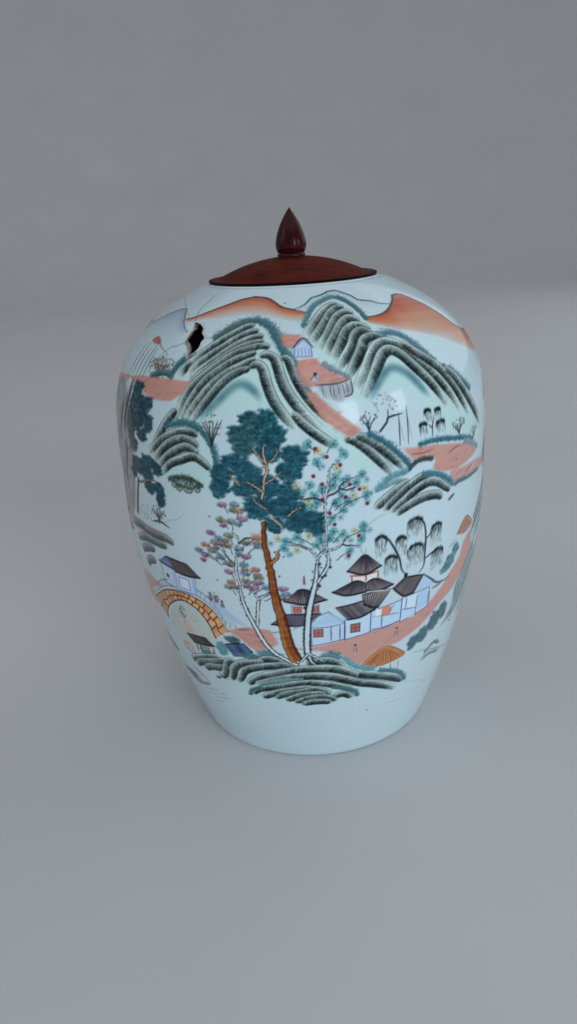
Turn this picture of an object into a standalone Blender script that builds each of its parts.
"""Ginger jar: a hollow porcelain jar with a turned hardwood lid that lifts off.

Metres, +Z up. The origin is the centre of the foot, on the plane that the jar rests on.
The front faces -Y. An old break leaves a hole through the shoulder, left of the front.
"""

import math

import bmesh
import bpy
from mathutils import Matrix, Vector

# Jar: driving dimensions
RIM_HEIGHT = 0.2985
BELLY_HEIGHT = 0.166
BELLY_RADIUS = 0.1195
FOOT_RADIUS = 0.083
MOUTH_RADIUS = 0.0445
WALL = 0.005
LIP_THICKNESS = 0.004
FLOOR_HEIGHT = 0.010
FOOT_RECESS = 0.004

# Jar: how full its outline is. The shoulder curve would close on the axis at CROWN_HEIGHT.
CROWN_HEIGHT = 0.3159
SHOULDER_FULLNESS = 4.89
FOOT_SWEEP = 1.70

# Jar: small details
FOOT_RING_WIDTH = 0.0055
FOOT_CHAMFER = 0.0012
FLOOR_FILLET = 0.008
LIP_ROUND = 0.0012
LIP_OUTER_RADIUS = 0.0540
SHOULDER_TOP_RADIUS = 0.0560

# Hole in the shoulder: where its middle is, and its outline there (across, up the slope)
HOLE_BEARING = math.radians(-36.5)
HOLE_HEIGHT = 0.2745
HOLE_CUT_DEPTH = 0.024
HOLE_OUTLINE_MM = (
    (-6.5, 12.5),
    (-1.5, 11.5),
    (3.0, 7.0),
    (7.5, 1.5),
    (6.5, -5.5),
    (4.0, -8.0),
    (2.5, -12.5),
    (-2.5, -4.0),
    (-5.5, -2.5),
    (-4.5, 4.0),
    (-7.0, 10.5),
)

# Lid: driving dimensions. Heights below are above the lid's seat, the underside of its brim.
GAP = 0.0003
LID_SEAT_HEIGHT = RIM_HEIGHT + GAP
BRIM_RADIUS = 0.0522
BRIM_EDGE = 0.0012
DOME_RADIUS = 0.046
DOME_FOOT_HEIGHT = 0.0015
DOME_HEIGHT = 0.0126
FINIAL_SEAT_RADIUS = 0.0092
LID_HOLLOW_RADIUS = 0.034
LID_HOLLOW_HEIGHT = 0.006

# Locating ring: the collar under the lid that drops into the mouth
RING_RADIUS = 0.0435
RING_WIDTH = 0.007
RING_DEPTH = 0.010
RING_CHAMFER = 0.001

# Finial: a pointed bud with a tenon, on a small turned collar
BUD_RADIUS = 0.0095
BUD_FOOT_RADIUS = 0.0081
BUD_WIDEST = 0.0044
BUD_LENGTH = 0.0262
BUD_TAPER = 1.75
TENON_RADIUS = 0.0038
TENON_HOLE_RADIUS = TENON_RADIUS + GAP
COLLAR_RADIUS = 0.0087
COLLAR_THICKNESS = 0.0016

# Facets round each turned piece; every count is a multiple of four
JAR_SEGMENTS = 72
LID_SEGMENTS = 56
FINIAL_SEGMENTS = 28
SHARP_ANGLE = math.radians(35)


def clear_scene():
    for obj in list(bpy.data.objects):
        bpy.data.objects.remove(obj, do_unlink=True)


def new_collection(name):
    collection = bpy.data.collections.new(name)
    bpy.context.scene.collection.children.link(collection)
    return collection


def make_material(name, colour, roughness, coat=0.0):
    material = bpy.data.materials.new(name)
    material.use_nodes = True
    shader = material.node_tree.nodes["Principled BSDF"]
    shader.inputs["Base Color"].default_value = (*colour, 1.0)
    shader.inputs["Roughness"].default_value = roughness
    shader.inputs["Metallic"].default_value = 0.0
    shader.inputs["Coat Weight"].default_value = coat
    return material


def spread(start, end, count):
    """Evenly spaced values from start to end, both included."""
    return [start + (end - start) * i / (count - 1) for i in range(count)]


def shoulder_heights(top, count):
    """Heights from just above the belly to the top, closer together where the shoulder turns in."""
    quarter = spread(0.0, math.pi / 2, count)[1:]
    return [BELLY_HEIGHT + (top - BELLY_HEIGHT) * math.sin(angle) for angle in quarter]


def arc(centre, radii, start_deg, end_deg, count):
    """Points (radius, height) of an arc, with its own half-width and half-height."""
    points = []
    for angle in spread(math.radians(start_deg), math.radians(end_deg), count):
        across = centre[0] + radii[0] * math.cos(angle)
        up = centre[1] + radii[1] * math.sin(angle)
        points.append((across, up))
    return points


def swelling(height, belly_radius, foot_radius, foot_height, crown_height):
    """Radius of an ovoid wall: swept in to the foot below the belly, closing in above it."""
    if height < BELLY_HEIGHT:
        down = (BELLY_HEIGHT - height) / (BELLY_HEIGHT - foot_height)
        return belly_radius - (belly_radius - foot_radius) * down**FOOT_SWEEP
    up = (height - BELLY_HEIGHT) / (crown_height - BELLY_HEIGHT)
    return belly_radius * (1 - up**SHOULDER_FULLNESS)


def outer_radius(height):
    return swelling(height, BELLY_RADIUS, FOOT_RADIUS, 0.0, CROWN_HEIGHT)


def inner_radius(height):
    crown = CROWN_HEIGHT - WALL - GAP
    return swelling(height, BELLY_RADIUS - WALL, FOOT_RADIUS - WALL, FLOOR_HEIGHT, crown)


def outer_height(radius):
    """Height of the shoulder where it has this radius."""
    up = (1 - radius / BELLY_RADIUS) ** (1 / SHOULDER_FULLNESS)
    return BELLY_HEIGHT + (CROWN_HEIGHT - BELLY_HEIGHT) * up


def turned_piece(name, profile, segments, material, collection):
    """A solid of revolution. The profile is (radius, height), top to bottom on its outer side."""
    mesh = bpy.data.meshes.new(name)
    count = len(profile)
    edges = [(i, i + 1) for i in range(count - 1)]
    if profile[0][0] > 0:
        edges.append((count - 1, 0))
    mesh.from_pydata([(radius, 0.0, height) for radius, height in profile], edges, [])
    piece = bpy.data.objects.new(name, mesh)
    collection.objects.link(piece)
    screw = piece.modifiers.new("turn", "SCREW")
    screw.axis = "Z"
    screw.angle = math.tau
    screw.steps = segments
    screw.render_steps = segments
    screw.use_merge_vertices = True
    screw.merge_threshold = 0.00001
    piece.data.materials.append(material)
    return piece


def bake_modifiers(piece):
    """Turn the modified shape into the object's own mesh, shaded smooth but for its corners."""
    bpy.context.view_layer.update()
    graph = bpy.context.evaluated_depsgraph_get()
    mesh = bpy.data.meshes.new_from_object(piece.evaluated_get(graph))
    piece.modifiers.clear()
    piece.data = mesh
    mesh.shade_smooth()
    mesh.set_sharp_from_angle(angle=SHARP_ANGLE)


def jar_profile():
    """The jar's section: up the inside from the floor, over the lip and down the outside."""
    slope = FOOT_SWEEP * (BELLY_RADIUS - FOOT_RADIUS) / (BELLY_HEIGHT - FLOOR_HEIGHT)
    lean = math.atan(slope)
    fillet_top = FLOOR_HEIGHT + FLOOR_FILLET * (1 - math.sin(lean))
    fillet_centre = (
        inner_radius(fillet_top) - FLOOR_FILLET * math.cos(lean),
        FLOOR_HEIGHT + FLOOR_FILLET,
    )
    ceiling = RIM_HEIGHT - LIP_THICKNESS
    neck_radius = inner_radius(ceiling)
    fillet = (FLOOR_FILLET, FLOOR_FILLET)
    neck_round = (neck_radius - MOUTH_RADIUS, LIP_THICKNESS / 2)
    lip = (LIP_ROUND, LIP_ROUND)

    profile = [(0.0, FLOOR_HEIGHT)]
    profile += arc(fillet_centre, fillet, -90, -math.degrees(lean), 4)
    profile += [(inner_radius(z), z) for z in spread(fillet_top, BELLY_HEIGHT, 7)[1:]]
    profile += [(inner_radius(z), z) for z in shoulder_heights(ceiling, 10)]
    profile += arc((neck_radius, ceiling + neck_round[1]), neck_round, 270, 180, 4)[1:]
    profile += arc((MOUTH_RADIUS + LIP_ROUND, RIM_HEIGHT - LIP_ROUND), lip, 180, 90, 4)

    shoulder_top = outer_height(SHOULDER_TOP_RADIUS)
    profile.append((LIP_OUTER_RADIUS, RIM_HEIGHT))
    profile += [(outer_radius(z), z) for z in reversed(shoulder_heights(shoulder_top, 14))]
    profile += [(outer_radius(z), z) for z in spread(BELLY_HEIGHT, FOOT_CHAMFER, 11)]

    ring_inner = FOOT_RADIUS - FOOT_RING_WIDTH
    profile.append((FOOT_RADIUS - FOOT_CHAMFER, 0.0))
    profile.append((ring_inner, 0.0))
    profile.append((ring_inner - FOOT_CHAMFER, FOOT_CHAMFER))
    profile.append((ring_inner - FOOT_RECESS, FOOT_RECESS))
    profile.append((0.0, FOOT_RECESS))
    return profile


def hole_cutter(collection):
    """A prism with the hole's broken outline, standing square to the shoulder."""
    curve = bpy.data.curves.new("hole_outline", "CURVE")
    curve.dimensions = "2D"
    curve.fill_mode = "BOTH"
    curve.extrude = HOLE_CUT_DEPTH / 2
    spline = curve.splines.new("POLY")
    spline.points.add(len(HOLE_OUTLINE_MM) - 1)
    for point, (across, up) in zip(spline.points, HOLE_OUTLINE_MM):
        point.co = (across / 1000, up / 1000, 0.0, 1.0)
    spline.use_cyclic_u = True
    outline = bpy.data.objects.new("hole_outline", curve)
    collection.objects.link(outline)

    step = 0.001
    radius = outer_radius(HOLE_HEIGHT)
    rise = Vector((outer_radius(HOLE_HEIGHT + step) - radius, step)).normalized()
    across = Vector((math.cos(HOLE_BEARING), math.sin(HOLE_BEARING), 0.0))
    outwards = Vector((math.sin(HOLE_BEARING), -math.cos(HOLE_BEARING), 0.0))
    up_slope = outwards * rise.x + Vector((0.0, 0.0, rise.y))
    square = across.cross(up_slope)
    turn = Matrix((across, up_slope, square)).transposed().to_4x4()
    outline.matrix_world = Matrix.Translation(outwards * radius + Vector((0.0, 0.0, HOLE_HEIGHT))) @ turn

    bpy.context.view_layer.update()
    graph = bpy.context.evaluated_depsgraph_get()
    mesh = bpy.data.meshes.new_from_object(outline.evaluated_get(graph))
    weld_and_face_out(mesh)
    cutter = bpy.data.objects.new("hole_cutter", mesh)
    cutter.matrix_world = outline.matrix_world
    collection.objects.link(cutter)
    bpy.data.objects.remove(outline, do_unlink=True)
    cutter.hide_render = True
    cutter.display_type = "WIRE"
    return cutter


def weld_and_face_out(mesh):
    """Join a filled curve's loose caps to its sides, with every face turned outwards."""
    shape = bmesh.new()
    shape.from_mesh(mesh)
    bmesh.ops.remove_doubles(shape, verts=shape.verts, dist=0.00001)
    bmesh.ops.recalc_face_normals(shape, faces=shape.faces)
    shape.to_mesh(mesh)
    shape.free()


def make_jar_body(parts, cutters, glaze):
    body = turned_piece("jar_body", jar_profile(), JAR_SEGMENTS, glaze, parts)
    cut = body.modifiers.new("broken_hole", "BOOLEAN")
    cut.operation = "DIFFERENCE"
    cut.solver = "EXACT"
    cut.object = hole_cutter(cutters)
    bake_modifiers(body)
    return body


def dome_arc_height(radius):
    """Height of the lid's domed top, an arc of a circle, above the lid's seat."""
    rise = DOME_HEIGHT - DOME_FOOT_HEIGHT
    sphere = (DOME_RADIUS**2 + rise**2) / (2 * rise)
    return DOME_HEIGHT - sphere + math.sqrt(sphere**2 - radius**2)


def make_lid_cover(parts, wood):
    """The lid's domed disc with its thin brim, hollowed beneath and bored for the finial."""
    seat_height = dome_arc_height(FINIAL_SEAT_RADIUS)
    profile = [(TENON_HOLE_RADIUS, seat_height)]
    profile += [(r, dome_arc_height(r)) for r in spread(FINIAL_SEAT_RADIUS, DOME_RADIUS, 9)]
    edge_round = (BRIM_EDGE / 2, BRIM_EDGE / 2)
    profile += arc((BRIM_RADIUS - BRIM_EDGE / 2, BRIM_EDGE / 2), edge_round, 90, -90, 6)
    hollow = (LID_HOLLOW_RADIUS - TENON_HOLE_RADIUS, LID_HOLLOW_HEIGHT)
    profile += arc((TENON_HOLE_RADIUS, 0.0), hollow, 0, 90, 7)
    return turned_piece("lid_cover", profile, LID_SEGMENTS, wood, parts)


def make_locating_ring(parts, wood):
    top = -GAP
    inner = RING_RADIUS - RING_WIDTH
    profile = [
        (inner, top),
        (RING_RADIUS, top),
        (RING_RADIUS, top - RING_DEPTH + RING_CHAMFER),
        (RING_RADIUS - RING_CHAMFER, top - RING_DEPTH),
        (inner + RING_CHAMFER, top - RING_DEPTH),
        (inner, top - RING_DEPTH + RING_CHAMFER),
    ]
    return turned_piece("lid_locating_ring", profile, LID_SEGMENTS, wood, parts)


def make_finial_collar(parts, wood):
    """A turned washer with a rounded edge, between the lid and the bud."""
    bottom = dome_arc_height(FINIAL_SEAT_RADIUS) + GAP
    half = COLLAR_THICKNESS / 2
    profile = [(TENON_HOLE_RADIUS, bottom + COLLAR_THICKNESS)]
    profile += arc((COLLAR_RADIUS - half, bottom + half), (half, half), 90, -90, 7)
    profile.append((TENON_HOLE_RADIUS, bottom))
    return turned_piece("finial_collar", profile, FINIAL_SEGMENTS, wood, parts)


def make_finial(parts, wood):
    """The pointed bud, with the tenon that passes through the collar and the lid."""
    foot = dome_arc_height(FINIAL_SEAT_RADIUS) + COLLAR_THICKNESS + 2 * GAP
    widest = foot + BUD_WIDEST
    tip = foot + BUD_LENGTH
    profile = [(0.0, tip)]
    for t in spread(0.96, 0.0, 11):
        profile.append((BUD_RADIUS * (1 - t**BUD_TAPER), widest + (tip - widest) * t))
    for t in spread(0.25, 1.0, 4):
        profile.append((BUD_RADIUS - (BUD_RADIUS - BUD_FOOT_RADIUS) * t**2, widest - BUD_WIDEST * t))
    tenon_end = LID_HOLLOW_HEIGHT + GAP
    profile.append((TENON_RADIUS, foot))
    profile.append((TENON_RADIUS, tenon_end))
    profile.append((0.0, tenon_end))
    return turned_piece("finial", profile, FINIAL_SEGMENTS, wood, parts)


def make_lid(parts, dark_wood, bud_wood):
    """The lid's four glued pieces, which lift off together along the axis of the jar."""
    lift = bpy.data.objects.new("lid_lift", None)
    lift.location = (0.0, 0.0, LID_SEAT_HEIGHT)
    parts.objects.link(lift)
    pieces = [
        make_lid_cover(parts, dark_wood),
        make_locating_ring(parts, dark_wood),
        make_finial_collar(parts, bud_wood),
        make_finial(parts, bud_wood),
    ]
    for piece in pieces:
        bake_modifiers(piece)
        piece.parent = lift


def main():
    clear_scene()
    parts = new_collection("ginger_jar")
    cutters = new_collection("cutters")
    glaze = make_material("porcelain_glaze", (0.60, 0.68, 0.70), 0.12, coat=0.5)
    dark_wood = make_material("lid_hardwood", (0.085, 0.032, 0.022), 0.38, coat=0.1)
    bud_wood = make_material("finial_hardwood", (0.030, 0.008, 0.012), 0.20, coat=0.4)
    make_jar_body(parts, cutters, glaze)
    make_lid(parts, dark_wood, bud_wood)


main()
